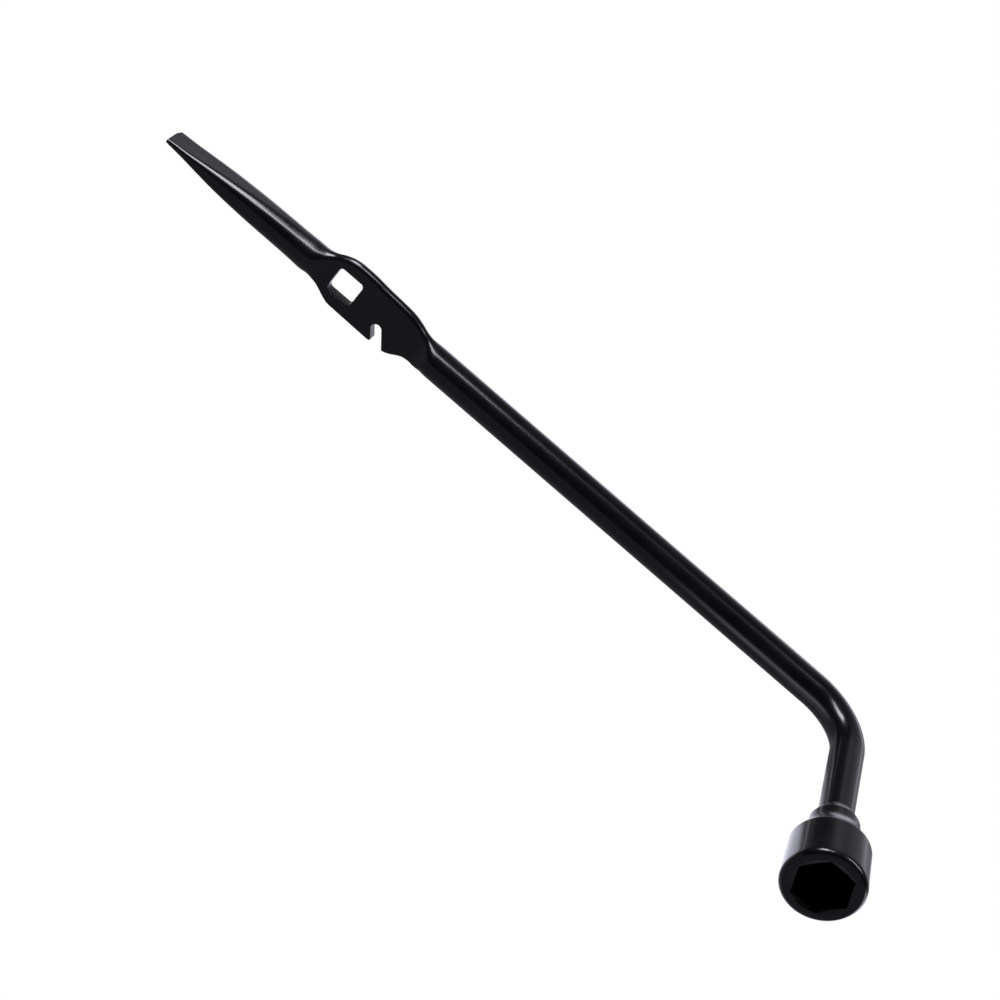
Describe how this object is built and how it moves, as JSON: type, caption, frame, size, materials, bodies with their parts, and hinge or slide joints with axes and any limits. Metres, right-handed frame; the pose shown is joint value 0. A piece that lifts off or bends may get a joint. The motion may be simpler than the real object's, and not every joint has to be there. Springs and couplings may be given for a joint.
{
  "type": "lug wrench",
  "caption": "L-shaped wheel wrench: bent round steel bar with a hexagonal wheel-nut socket, a punched lever plate with square hole and hook slot, and a pry blade.",
  "frame": {"origin": "centre of the footprint at the height of the lowest point of the socket, the wrench lying on its side", "axes": "+X along the straight bar from the pry blade to the bend, -Y from the bar to the socket, +Z normal to the plane of the bend"},
  "size_m": [0.3802, 0.1116, 0.0325],
  "materials": {
    "black_paint_bar": "semi-gloss black enamel over forged steel",
    "black_paint_socket": "semi-gloss black enamel over turned steel",
    "black_paint_weld": "black enamel over rippled weld metal"
  },
  "bodies": {
    "root": {"shank_bar": "black_paint_bar", "socket": "black_paint_socket", "weld_bead": "black_paint_weld"}
  },
  "joints": []
}
